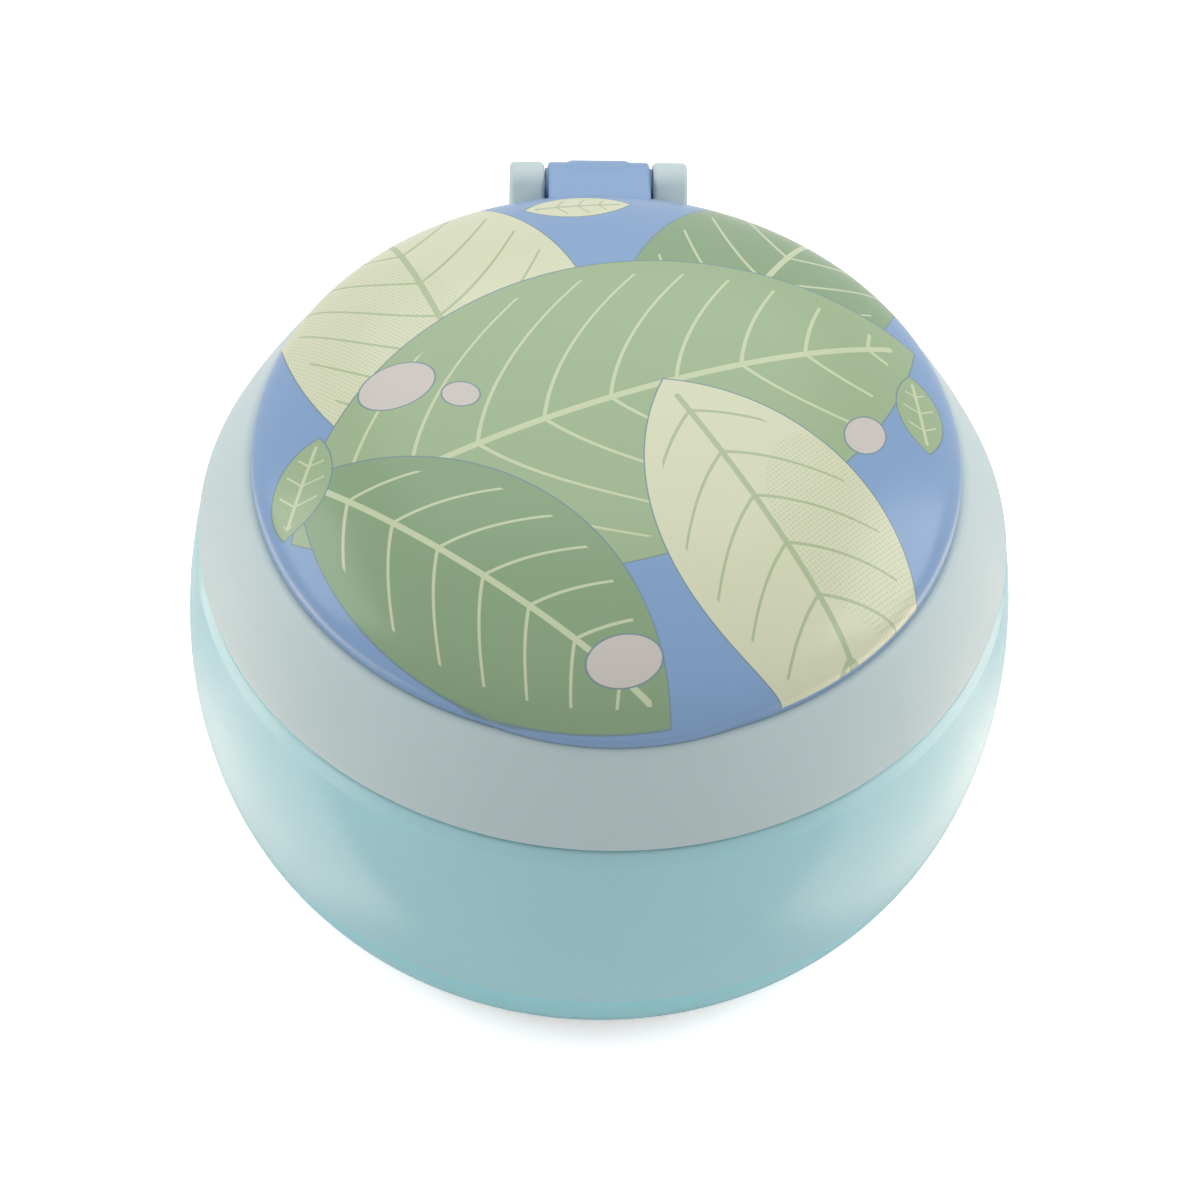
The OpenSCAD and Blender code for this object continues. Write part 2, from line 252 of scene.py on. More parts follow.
def rounded(corners, closed=False, steps=5):
    """An outline through (x, y) points; a third value rounds that corner with its radius."""
    out = []
    count = len(corners)
    for i, corner in enumerate(corners):
        here = Vector(corner[:2])
        radius = corner[2] if len(corner) > 2 else 0
        if not radius or (not closed and i in (0, count - 1)):
            out.append(tuple(here))
            continue
        before = (Vector(corners[i - 1][:2]) - here).normalized()
        after = (Vector(corners[(i + 1) % count][:2]) - here).normalized()
        half = before.angle(after) / 2
        reach_back = radius / math.tan(half)
        middle = here + (before + after).normalized() * (radius / math.sin(half))
        first = here + before * reach_back - middle
        last = here + after * reach_back - middle
        sweep = first.angle_signed(last)
        for k in range(steps + 1):
            out.append(tuple(middle + Matrix.Rotation(-sweep * k / steps, 2) @ first))
    return out


def bowl_side(wall, low, steps=28):
    """The bowl's side, a quarter ellipse from the foot to the belly, set in by a wall."""
    turns = [math.radians(90 * i / steps) for i in range(steps + 1)]
    return [(FOOT_R + (BELLY_R - wall - FOOT_R) * math.sin(t), low + (BELLY_Z - low) * (1 - math.cos(t)))
            for t in turns]


def upper_r(z):
    """Radius of the bowl between its belly and its shoulder."""
    return BELLY_R - SHOULDER_IN * ((z - BELLY_Z) / (SHOULDER_Z - BELLY_Z)) ** 2


def bowl_top(wall, top, steps=10):
    """The bowl's wall from the belly up to height top, set in by a wall."""
    heights = [BELLY_Z + (top - BELLY_Z) * i / steps for i in range(1, steps + 1)]
    return [(upper_r(z) - wall, z) for z in heights]


def collar_wall_r(z):
    """Radius of the collar's outer wall at height z."""
    t = (z - COLLAR_Z) / COLLAR_H
    return COLLAR_R + (SEAT_R - COLLAR_R) * t + 4 * COLLAR_BULGE * t * (1 - t)


def collar_side(wall, low, high, steps=14):
    """The collar's wall from height low to height high, set in by a wall."""
    heights = [low + (high - low) * i / steps for i in range(steps + 1)]
    return [(collar_wall_r(z) - wall, z) for z in heights]


def dome_z(r, wall):
    """Height of the lid's crown at radius r, set in by a wall."""
    share = max(0.0, 1 - (r / (LID_R - wall)) ** 2)
    return CROWN_Z + (CROWN_H - wall) * share ** (CROWN_SHAPE / 2)


def dome(wall, steps=56):
    """The lid's crown from its middle to the top of the rim, set in by a wall."""
    turns = [math.radians(90 - 90 * i / steps) for i in range(steps + 1)]
    return [((LID_R - wall) * math.cos(t), CROWN_Z + (CROWN_H - wall) * math.sin(t) ** CROWN_SHAPE)
            for t in turns]


def cut_window(low, high):
    """A (y, z) rectangle from the middle to outside the cup."""
    return [(0, low), (CUT_FAR, low), (CUT_FAR, high), (0, high)]


# ---------------------------------------------------------------- meshes

def mesh_object(name, verts, faces):
    """A smooth-shaded mesh object from points in millimetres."""
    mesh = bpy.data.meshes.new(name)
    mesh.from_pydata([tuple(c * MM for c in v) for v in verts], [], faces)
    mesh.update()
    tidy = bmesh.new()
    tidy.from_mesh(mesh)
    bmesh.ops.recalc_face_normals(tidy, faces=tidy.faces)
    tidy.to_mesh(mesh)
    tidy.free()
    obj = bpy.data.objects.new(name, mesh)
    bpy.context.scene.collection.objects.link(obj)
    return obj


def loft(name, rings):
    """A closed mesh through rings of points, as many in each, with both ends capped."""
    count = len(rings[0])
    verts = [point for ring in rings for point in ring]
    faces = [[low + i, low + (i + 1) % count, low + (i + 1) % count + count, low + i + count]
             for low in range(0, len(verts) - count, count) for i in range(count)]
    faces.append(list(range(count))[::-1])
    faces.append(list(range(len(verts) - count, len(verts))))
    return mesh_object(name, verts, faces)


def turned(section, degrees, rise=0.0):
    """The points of a (radius, height) section, turned about Z and lifted."""
    turn = math.radians(degrees)
    return [(r * math.cos(turn), r * math.sin(turn), rise + z) for r, z in section]


def lathe(name, outline, closed=False, steps=TURN_STEPS):
    """Turns an outline about Z: a closed loop, or an open one that starts and ends on the axis."""
    verts, rings = [], []
    for r, z in outline:
        if r < ON_AXIS:
            rings.append([len(verts)] * steps)
            verts.append((0, 0, z))
        else:
            rings.append(list(range(len(verts), len(verts) + steps)))
            verts += [(r * math.cos(2 * math.pi * k / steps), r * math.sin(2 * math.pi * k / steps), z)
                      for k in range(steps)]
    faces = []
    pairs = list(zip(rings, rings[1:])) + ([(rings[-1], rings[0])] if closed else [])
    for low, high in pairs:
        for k in range(steps):
            n = (k + 1) % steps
            corners = [low[k], low[n], high[n], high[k]]
            face = list(dict.fromkeys(corners))
            if len(face) > 2:
                faces.append(face)
    return mesh_object(name, verts, faces)


def on_axis(obj):
    """Lays a turned piece along X, on the hinge's axis."""
    lying = Matrix.Rotation(math.pi / 2, 4, "Y")
    obj.data.transform(Matrix.Translation((0, AXIS_Y * MM, AXIS_Z * MM)) @ lying)
    return obj


def barrel(name, r, half_w, edge):
    """A bar on the hinge's axis, with rounded ends."""
    outline = rounded([(0, -half_w), (r, -half_w, edge), (r, half_w, edge), (0, half_w)])
    return on_axis(lathe(name, outline, steps=BAR_STEPS))


def prism(name, outline, half_w, edge, x=0.0, steps=5):
    """Extrudes a (y, z) outline along X to both sides of x, with its two ends rounded by edge."""
    count = len(outline)
    points = [Vector(p) for p in outline]
    area = sum(points[i - 1].cross(points[i]) for i in range(count))
    side = 1 if area > 0 else -1
    inward = []
    for i in range(count):
        a = (points[i] - points[i - 1]).normalized()
        b = (points[(i + 1) % count] - points[i]).normalized()
        normal = Vector((-(a.y + b.y), a.x + b.x)) * side
        normal.normalize()
        inward.append(normal / max(0.5, normal.dot(Vector((-a.y, a.x)) * side)))
    turns = [math.radians(90 * k / steps) for k in range(steps + 1)]
    near = [(edge * (1 - math.sin(t)), -half_w + edge * (1 - math.cos(t))) for t in turns]
    levels = near + [(inset, -place) for inset, place in reversed(near)]
    return loft(name, [[(x + place, p.x + n.x * inset, p.y + n.y * inset) for p, n in zip(points, inward)]
                       for inset, place in levels])


def combine(obj, other, how):
    """Joins, cuts or keeps the common part of two closed meshes, and removes the second."""
    step = obj.modifiers.new("combine", "BOOLEAN")
    step.operation = how
    step.solver = "MANIFOLD"
    step.object = other
    bpy.context.view_layer.update()
    made = bpy.data.meshes.new_from_object(obj.evaluated_get(bpy.context.evaluated_depsgraph_get()))
    obj.modifiers.clear()
    old = obj.data
    obj.data = made
    made.name = obj.name
    bpy.data.meshes.remove(old)
    bpy.data.objects.remove(other)
    return obj


def finish_mesh(obj, sharp=35):
    """Smooth shading that keeps flat faces flat and real corners sharp."""
    for face in obj.data.polygons:
        face.use_smooth = True
    obj.data.set_sharp_from_angle(angle=math.radians(sharp))
    weighted = obj.modifiers.new("weighted_normals", "WEIGHTED_NORMAL")
    weighted.keep_sharp = True
    return obj


def push_thumb_lip(obj):
    """Draws the front of the rim out into the slight thumb lip."""
    half = THUMB_W / 2
    sag = LID_R + THUMB_OUT - math.sqrt(LID_R ** 2 - half ** 2)
    lip_r = (half ** 2 + sag ** 2) / (2 * sag)
    back = LID_R + THUMB_OUT - lip_r
    for v in obj.data.vertices:
        r = math.hypot(v.co.x, v.co.y) / MM
        if v.co.y > 0 or r < LID_R - LID_WALL + THUMB_START:
            continue
        across = v.co.x / MM / r
        if abs(across) > half / LID_R:
            continue
        lip = back * math.sqrt(1 - across ** 2) + math.sqrt(lip_r ** 2 - (back * across) ** 2) - LID_R
        fade = min(1.0, max(0.0, 1 - (v.co.z / MM - CROWN_Z) / (2 * THUMB_FADE)))
        grow = 1 + max(0.0, lip) * fade ** 2 / r
        v.co.x *= grow
        v.co.y *= grow


# ---------------------------------------------------------------- pieces

def thread_ridge(number):
    """One thread ridge: a blunt section swept up a helix, running out at both ends."""
    root = NECK_R - NECK_WALL / 2
    rings = []
    for i in range(RIDGE_STEPS + 1):
        t = i / RIDGE_STEPS
        run_out = min(1.0, min(t, 1 - t) / RUN_OUT + RUN_OUT_LEFT)
        crest = NECK_R + RIDGE_H * run_out
        section = rounded([(root, -RIDGE_DRAFT), (crest, RIDGE_DRAFT, FINE_EDGE),
                           (crest, RIDGE_T - RIDGE_DRAFT, FINE_EDGE), (root, RIDGE_T + RIDGE_DRAFT)],
                          steps=3)
        rings.append(turned(section, RIDGE_ARC * t + 360 * number / THREAD_STARTS,
                            RIDGE_Z + THREAD_LEAD * RIDGE_ARC * t / 360))
    return loft("ridge", rings)


def make_cup():
    inside_z = SHOULDER_Z - BOWL_WALL
    inner = bowl_side(BOWL_WALL, FLOOR_T) + bowl_top(BOWL_WALL, inside_z - INSIDE_START)
    outline = rounded([(0, FOOT_HOLLOW), (FOOT_R - FOOT_RING, FOOT_HOLLOW, SMALL_EDGE),
                       (FOOT_R - FOOT_RING, 0, SMALL_EDGE), (FOOT_R - FOOT_FLAT, 0)])
    outline += bowl_side(0, 0)
    outline += bowl_top(0, CREASE_Z - CREASE_START)
    outline += rounded([outline[-1], (upper_r(CREASE_Z), CREASE_Z, CREASE_EDGE),
                        (upper_r(CREASE_Z) - STRIP_IN, SHOULDER_Z, ROUND_EDGE), (NECK_R, SHOULDER_Z, EDGE),
                        (NECK_R, NECK_TOP, ROUND_EDGE), (NECK_R - NECK_WALL, NECK_TOP, ROUND_EDGE),
                        (NECK_R - NECK_WALL, inside_z, NECK_FOOT_EDGE),
                        (upper_r(inside_z) - BOWL_WALL, inside_z, INSIDE_EDGE), inner[-1]])[1:]
    outline += inner[::-1][1:]
    outline.append((0, FLOOR_T))
    cup = lathe("bowl", outline)
    for number in range(THREAD_STARTS):
        combine(cup, thread_ridge(number), "UNION")
    return finish_mesh(cup)


def make_lug(number):
    """One lug inside the collar's skirt."""
    crest = NECK_R + THREAD_GAP
    back = SKIRT_R + SKIRT_WALL / 2
    low = LUG_TOP - RIDGE_T
    section = rounded([(back, low), (crest, low, LUG_EDGE), (crest, LUG_TOP, LUG_EDGE), (back, LUG_TOP)],
                      steps=3)
    start = LUG_START + 360 * number / THREAD_STARTS
    return loft("lug", [turned(section, start + LUG_ARC * i / LUG_STEPS) for i in range(LUG_STEPS + 1)])


def ear_outline():
    """The (y, z) outline of one ear: a barrel on a foot that runs into the collar."""
    foot_z = AXIS_Z - BARREL_R - FOOT_DOWN
    foot_y = AXIS_Y - BARREL_R - FOOT_IN
    front = [(foot_y, SEAT_Z - TUCK_DOWN), (SEAT_R - TOE_IN, SEAT_Z - TOE_DOWN, EAR_EDGE)]
    top = arc((AXIS_Y, AXIS_Z), BARREL_R, EAR_START, EAR_END, steps=30)
    foot = [(collar_wall_r(foot_z) - COLLAR_WALL / 2, foot_z), (foot_y, foot_z)]
    return rounded(front + top + foot, closed=True)


def collar_outline():
    """The collar's turned outline: outer wall, seat, mouth ring with its bead, lug skirt, inner wall."""
    skirt_out = SKIRT_R + SKIRT_WALL
    plate_low = SEAT_Z - PLATE_T
    bead = UPSTAND_TOP - BEAD_DOWN
    wall_in = collar_side(COLLAR_WALL, COLLAR_Z + INNER_START, plate_low - INNER_END)
    wall_in = [p for p in wall_in if p[0] > skirt_out + SKIRT_CLEAR]
    corners = [(COLLAR_R - COLLAR_WALL, COLLAR_Z, SMALL_EDGE), (COLLAR_R, COLLAR_Z, COLLAR_EDGE)]
    corners += collar_side(0, COLLAR_Z + OUTER_START, SEAT_Z - OUTER_END)
    corners += [(SEAT_R, SEAT_Z, SEAT_EDGE), (UPSTAND_R, SEAT_Z, SMALL_EDGE), (UPSTAND_R, bead),
                (UPSTAND_R + BEAD_H, bead + BEAD_STEP, BEAD_EDGE),
                (UPSTAND_R + BEAD_H, bead + 2 * BEAD_STEP, BEAD_EDGE), (UPSTAND_R, bead + 3 * BEAD_STEP),
                (UPSTAND_R, UPSTAND_TOP, BEAD_TOP_EDGE), (MOUTH_R, UPSTAND_TOP, EDGE),
                (MOUTH_R, plate_low, FINE_EDGE), (SKIRT_R, plate_low, FINE_EDGE),
                (SKIRT_R, SKIRT_Z, SMALL_EDGE), (skirt_out, SKIRT_Z, SMALL_EDGE),
                (skirt_out, wall_in[-1][1] + SKIRT_MEET)]
    return rounded(corners + wall_in[::-1], closed=True)


def hinge_backing(high):
    """The solid stretch of collar behind the ears, between skirt and wall, up to height high."""
    low = AXIS_Z - BARREL_R - BACKING_DOWN
    back = SKIRT_R + SKIRT_WALL / 2
    backing = lathe("backing", [(back, low), (back, high)] + collar_side(COLLAR_WALL / 2, low, high)[::-1],
                    closed=True)
    window = cut_window(low - CUT_PAST, high + CUT_PAST)
    return combine(backing, prism("window", window, POCKET_W / 2 + EAR_W, CUT_EDGE), "INTERSECT")


def make_collar():
    collar = lathe("collar_ring", collar_outline(), closed=True)
    high = SEAT_Z - PLATE_T / 2
    back = SKIRT_R + SKIRT_WALL / 2
    combine(collar, hinge_backing(high), "UNION")
    for side in (-1, 1):
        ear = prism("ear", ear_outline(), EAR_W / 2, EAR_EDGE, side * (POCKET_W + EAR_W) / 2)
        combine(ear, lathe("path", [(0, 0), (back, 0), (back, high), (0, high)]), "DIFFERENCE")
        combine(collar, ear, "UNION")
    pocket_r = BARREL_R + STOP_H + POCKET_GAP
    combine(collar, barrel("pocket", pocket_r, POCKET_W / 2, CUT_EDGE), "DIFFERENCE")
    combine(collar, barrel("pin_hole", PIN_R + CUT_EDGE, PIN_HALF + CUT_EDGE, CUT_EDGE), "DIFFERENCE")
    for number in range(THREAD_STARTS):
        combine(collar, make_lug(number), "UNION")
    return finish_mesh(collar)


def knuckle_outline():
    """The (y, z) outline of the knuckle and its arm: a round bar that runs straight into the lid's rim."""
    root = Vector((LID_R - LID_WALL - AXIS_Y, RIM_Z + ARM_H - AXIS_Z))
    touch = math.atan2(root.y, root.x) - math.acos(BARREL_R / root.length)
    start = math.pi - math.asin((RIM_Z - AXIS_Z) / BARREL_R)
    bar = arc((AXIS_Y, AXIS_Z), BARREL_R, math.degrees(start), math.degrees(touch) + 360, steps=60)
    return bar + [(root.x + AXIS_Y, root.y + AXIS_Z), (root.x + AXIS_Y, RIM_Z)]


def make_stop():
    """The low pad on the knuckle's middle, with sloping ends: it stands out most at STOP_TURN."""
    foot = BARREL_R - STOP_H - STOP_SINK
    half = STOP_W / 2
    outline = [(0, -half - STOP_RAMP), (foot, -half - STOP_RAMP), (BARREL_R, -half, STOP_EDGE),
               (BARREL_R, half, STOP_EDGE), (foot, half + STOP_RAMP), (0, half + STOP_RAMP)]
    stop = on_axis(lathe("stop", rounded(outline), steps=BAR_STEPS))
    turn = math.radians(STOP_TURN)
    shift = (0, STOP_H * MM * math.cos(turn), STOP_H * MM * math.sin(turn))
    stop.data.transform(Matrix.Translation(shift))
    return stop


def lid_outline():
    """The lid's turned outline: crown, film's ledge, rim, underside and lock ring."""
    inset = FILM_T + FILM_GAP
    inner_r = LID_R - LID_WALL
    lock_out = LOCK_R + LOCK_WALL
    low = RIM_Z - RIM_DOWN
    ring_start, ring_end = lock_out + SMALL_EDGE, LOCK_R - LOCK_FADE
    outline = dome(inset)
    outline += rounded([outline[-1], (LID_R - inset, FILM_Z), (LID_R, FILM_Z, LEDGE_EDGE),
                        (LID_R, low, RIM_EDGE), (inner_r, low, SMALL_EDGE), (inner_r, CROWN_Z)])[1:]
    under = dome(LID_WALL)[::-1]
    outline += [p for p in under[1:] if p[0] > ring_start]
    outline += rounded([(ring_start, dome_z(ring_start, LID_WALL)),
                        (lock_out, dome_z(lock_out, LID_WALL), FINE_EDGE), (lock_out, RIM_Z, EDGE),
                        (LOCK_R, RIM_Z, EDGE), (LOCK_R, dome_z(LOCK_R, LID_WALL), ROUND_EDGE),
                        (ring_end, dome_z(ring_end, LID_WALL))])
    return outline + [p for p in under if p[0] < ring_end - LOCK_CLEAR]


def make_lid():
    lid = lathe("lid_shell", lid_outline())
    push_thumb_lip(lid)
    knuckle = prism("knuckle", knuckle_outline(), KNUCKLE_W / 2, EDGE)
    combine(knuckle, make_stop(), "UNION")
    combine(knuckle, barrel("hub", HUB_R, KNUCKLE_W / 2 + HUB_OUT, HUB_EDGE), "UNION")
    middle_r = LID_R - LID_WALL / 2
    hollow = [(0, RIM_Z - CUT_PAST), (middle_r, RIM_Z - CUT_PAST), (middle_r, CROWN_Z)]
    combine(knuckle, lathe("hollow", hollow + dome(LID_WALL / 2)[::-1][1:]), "DIFFERENCE")
    combine(lid, knuckle, "UNION")
    combine(lid, barrel("bore", PIN_R + PIN_GAP, KNUCKLE_W, CUT_EDGE), "DIFFERENCE")
    return finish_mesh(lid)


def make_film():
    edge = [(LID_R, FILM_Z), (LID_R - FILM_T, FILM_Z)]
    film = lathe("printed_film", dome(0) + edge + dome(FILM_T)[::-1])
    push_thumb_lip(film)
    window = cut_window(RIM_Z - CUT_PAST, RIM_Z + ARM_H + ARM_GAP)
    combine(film, prism("arm_window", window, KNUCKLE_W / 2, CUT_EDGE), "DIFFERENCE")
    return finish_mesh(film)


def make_soft_ring():
    inner = TUBE_R - TUBE_WALL
    web_low = WEB_TOP - FLAP_T
    web_in = ROOT_R + FLAP_T / 2 - WEB_OVERLAP
    outline = [(FLANGE_R, FLANGE_Z, EDGE), (FLANGE_R, FLANGE_Z + FLANGE_T, EDGE),
               (TUBE_R, FLANGE_Z + FLANGE_T, FINE_EDGE), (TUBE_R, TUBE_TOP, ROUND_EDGE),
               (inner, TUBE_TOP, ROUND_EDGE), (inner, WEB_TOP, WEB_EDGE), (web_in, WEB_TOP),
               (web_in, web_low), (inner, web_low, WEB_EDGE), (inner, FLANGE_Z, EDGE)]
    ring = lathe("soft_ring", rounded(outline, closed=True), closed=True)
    step = 360 / len(FLAPS)
    hole_r = (ROOT_R + FLAP_T / 2) / math.cos(math.radians(step / 2))
    corners = arc((0, 0), hole_r, step / 2, 360 - step / 2, len(FLAPS) - 1)
    star = [[(x, y, z) for x, y in corners] for z in (web_low - CUT_PAST, WEB_TOP + CUT_PAST)]
    combine(ring, loft("star_window", star), "DIFFERENCE")
    return finish_mesh(ring)


def make_flap(number):
    """One flap: a soft wedge with rounded edges, from the web's edge to the middle."""
    turn = math.pi / len(FLAPS)
    root = ROOT_R + FLAP_T / 2
    across = math.tan(turn)
    gap = SLIT_W / 2 / math.cos(turn)
    rows, columns = 34, 16
    tip = SLIT_W / 2 / math.sin(turn) + TIP_CUT
    verts, faces = [], []
    for level in (0, 1):
        for i in range(rows + 1):
            r = tip + (root - tip) * i / rows
            half = max(TIP_HALF_W, r * across - gap)
            for j in range(columns + 1):
                s = -1 + 2 * j / columns
                edge = FLAP_EDGE * max(0.0, abs(s) - 1 + FLAP_EDGE_SHARE) / FLAP_EDGE_SHARE
                if i == 0:
                    edge += FLAP_EDGE
                dish = FLAP_DISH * math.sin(math.pi * i / rows)
                z = WEB_TOP - dish - edge if level else WEB_TOP - FLAP_T + dish + edge
                verts.append((r, s * half, z))
    width = columns + 1
    layer = (rows + 1) * width
    for i in range(rows):
        for j in range(columns):
            a = i * width + j
            faces.append([a, a + 1, a + width + 1, a + width])
            faces.append([layer + a, layer + a + width, layer + a + width + 1, layer + a + 1])
    rim = list(range(width)) + [i * width + columns for i in range(1, rows + 1)]
    rim += [rows * width + j for j in range(columns - 1, -1, -1)]
    rim += [i * width for i in range(rows - 1, 0, -1)]
    for k, a in enumerate(rim):
        b = rim[(k + 1) % len(rim)]
        faces.append([a, b, b + layer, a + layer])
    flap = mesh_object(f"soft_flap_{number}", verts, faces)
    flap.data.transform(Matrix.Rotation(2 * turn * (number - 1), 4, "Z"))
    return finish_mesh(flap, sharp=60)


def make_pin():
    return finish_mesh(barrel("pin", PIN_R, PIN_HALF, PIN_EDGE))


# ---------------------------------------------------------------- materials

def srgb(r, g, b):
    """A colour given as 0 to 255 values on screen, as linear light."""
    def linear(c):
        c /= 255
        return c / 12.92 if c <= 0.04045 else ((c + 0.055) / 1.055) ** 2.4
    return (linear(r), linear(g), linear(b), 1.0)


def add(tree, kind, inputs=(), **settings):
    """A shader node with its settings; an input is a value or another node's output."""
    node = tree.nodes.new(kind)
    for key, value in settings.items():
        setattr(node, key, value)
    for key, value in dict(inputs).items():
        if isinstance(value, bpy.types.NodeSocket):
            tree.links.new(value, node.inputs[key])
        else:
            node.inputs[key].default_value = value
    return node


def new_material(name):
    """A material with nothing but one shader in it."""
    material = bpy.data.materials.new(name)
    material.use_nodes = True
    tree = material.node_tree
    tree.nodes.clear()
    shader = add(tree, "ShaderNodeBsdfPrincipled")
    out = add(tree, "ShaderNodeOutputMaterial")
    tree.links.new(shader.outputs[0], out.inputs["Surface"])
    return material, tree, shader


# clouds and grain are per metre, the depth of the ripple is in metres
CLOUD_SCALE = 100.0
CLOUD_LOW = 0.3
CLOUD_HIGH = 0.7
RIPPLE = 0.00002
RIPPLE_STRENGTH = 0.25
PLASTIC_IOR = 1.49
WIRE_LINES = (60, 4000, 4000)


def object_place(tree):
    """Where a surface point is in its object, in metres."""
    return add(tree, "ShaderNodeTexCoord").outputs["Object"]


def moulded_finish(tree, shader, place, roughness, spread, grain, depth=RIPPLE):
    """Uneven gloss and the fine ripple of a moulded surface. Gives the clouds of the gloss."""
    cloud = add(tree, "ShaderNodeTexNoise", {"Vector": place, "Scale": CLOUD_SCALE, "Detail": 3.0})
    fine = add(tree, "ShaderNodeTexNoise", {"Vector": place, "Scale": grain, "Detail": 2.0})
    rough = add(tree, "ShaderNodeMapRange", {
        "Value": cloud.outputs["Fac"], "From Min": CLOUD_LOW, "From Max": CLOUD_HIGH,
        "To Min": roughness - spread, "To Max": roughness + spread})
    tree.links.new(rough.outputs[0], shader.inputs["Roughness"])
    relief = add(tree, "ShaderNodeBump", {
        "Height": fine.outputs["Fac"], "Strength": RIPPLE_STRENGTH, "Distance": depth})
    tree.links.new(relief.outputs[0], shader.inputs["Normal"])
    return cloud


def tinted(tree, cloud, colour, change):
    """A colour that drifts a little over the surface."""
    darker = tuple(c * (1 - change) for c in colour[:3]) + (1.0,)
    lighter = tuple(min(1.0, c * (1 + change)) for c in colour[:3]) + (1.0,)
    mix = add(tree, "ShaderNodeMix", {"Factor": cloud.outputs["Fac"]}, data_type="RGBA")
    mix.inputs[6].default_value = darker
    mix.inputs[7].default_value = lighter
    return mix.outputs[2]


BOWL_COLOUR = srgb(187, 237, 246)
BAND_COLOUR = srgb(168, 243, 255)
COLLAR_COLOUR = srgb(193, 210, 211)
LID_COLOUR = srgb(127, 160, 200)
SAGE = srgb(154, 178, 138)
DEEP_SAGE = srgb(133, 162, 124)
CREAM = srgb(212, 216, 184)
BEIGE = srgb(203, 196, 190)
SOFT_COLOUR = srgb(222, 228, 208)
STEEL_COLOUR = srgb(205, 206, 210)


def bowl_plastic():
    """Milky, tinted polypropylene: some light goes through the wall."""
    material, tree, shader = new_material("bowl_plastic")
    place = object_place(tree)
    cloud = moulded_finish(tree, shader, place, roughness=0.16, spread=0.03, grain=900)
    height = add(tree, "ShaderNodeSeparateXYZ", {0: place}).outputs["Z"]
    thick = add(tree, "ShaderNodeMapRange", {
        "Value": height, "From Min": (BAND_Z + BAND_SOFT) * MM, "From Max": (BAND_Z - BAND_SOFT) * MM})
    deeper = add(tree, "ShaderNodeMix", {"Factor": thick.outputs[0], 7: BAND_COLOUR}, data_type="RGBA")
    tree.links.new(tinted(tree, cloud, BOWL_COLOUR, 0.03), deeper.inputs[6])
    tree.links.new(deeper.outputs[2], shader.inputs["Base Color"])
    shader.inputs["Transmission Weight"].default_value = 0.2
    shader.inputs["IOR"].default_value = PLASTIC_IOR
    shader.inputs["Subsurface Weight"].default_value = 0.5
    shader.inputs["Subsurface Radius"].default_value = (0.5, 1.0, 1.0)
    shader.inputs["Subsurface Scale"].default_value = 0.003
    return material


def collar_plastic():
    """Satin grey-green polypropylene with a fine spark-eroded grain."""
    material, tree, shader = new_material("collar_plastic")
    cloud = moulded_finish(tree, shader, object_place(tree), roughness=0.42, spread=0.04, grain=2600)
    tree.links.new(tinted(tree, cloud, COLLAR_COLOUR, 0.02), shader.inputs["Base Color"])
    shader.inputs["IOR"].default_value = PLASTIC_IOR
    shader.inputs["Subsurface Weight"].default_value = 0.1
    shader.inputs["Subsurface Scale"].default_value = 0.002
    return material


def lid_plastic():
    """Glossy blue polypropylene. Denoising marks roughness over 0.27, so this and the film stay under."""
    material, tree, shader = new_material("lid_plastic")
    cloud = moulded_finish(tree, shader, object_place(tree), roughness=0.23, spread=0.03, grain=400)
    tree.links.new(tinted(tree, cloud, LID_COLOUR, 0.02), shader.inputs["Base Color"])
    shader.inputs["IOR"].default_value = PLASTIC_IOR
    return material


def soft_plastic():
    """Soft matt rubber of the ring and its flaps."""
    material, tree, shader = new_material("soft_rubber")
    cloud = moulded_finish(tree, shader, object_place(tree), roughness=0.55, spread=0.06, grain=3200,
                           depth=1.5 * RIPPLE)
    tree.links.new(tinted(tree, cloud, SOFT_COLOUR, 0.03), shader.inputs["Base Color"])
    shader.inputs["Subsurface Weight"].default_value = 0.2
    shader.inputs["Subsurface Scale"].default_value = 0.002
    return material


def pin_steel():
    """Drawn stainless wire with fine lines along its length."""
    material, tree, shader = new_material("pin_steel")
    stretch = add(tree, "ShaderNodeMapping", {"Vector": object_place(tree), "Scale": WIRE_LINES})
    lines = add(tree, "ShaderNodeTexNoise", {"Vector": stretch.outputs[0], "Scale": 1.0, "Detail": 2.0})
    rough = add(tree, "ShaderNodeMapRange", {"Value": lines.outputs["Fac"], "To Min": 0.2, "To Max": 0.36})
    tree.links.new(rough.outputs[0], shader.inputs["Roughness"])
    shader.inputs["Base Color"].default_value = STEEL_COLOUR
    shader.inputs["Metallic"].default_value = 1.0
    return material


CREAM_SHADE = srgb(186, 194, 158)
CREAM_VEIN = srgb(172, 188, 150)
SAGE_VEIN = srgb(196, 208, 170)
INK_EDGE = srgb(112, 140, 150)

# a scale so large that the height on the lid doesn't count
FLATTEN = 1e6
# in millimetres: the ink's soft edge, the dark line round a motif, and the shade's screen of dots
INK_SOFT = 0.08
OUTLINE = 0.16
SCREEN_PITCH = 0.5
SCREEN_DOT = 0.14
# veins: half their thickness and its growth with the pitch, their slant and bend, the midrib's
# thickness in veins, and the share of the pitch that stays clear at the leaf's edge
VEIN_HALF = 0.1
VEIN_GROWTH = 0.025
VEIN_SLANT = 0.5
VEIN_BEND = 0.03
MIDRIB = 1.5
VEIN_CLEAR = 0.3
# a cream leaf's shade: an oval at the leaf's x and y times these, with its half length and half
# width as shares of the leaf's length and width
SHADE_PLACE = (1.4, 0.8)
SHADE_LENGTH = 1 / 4
SHADE_WIDTH = 1 / 3

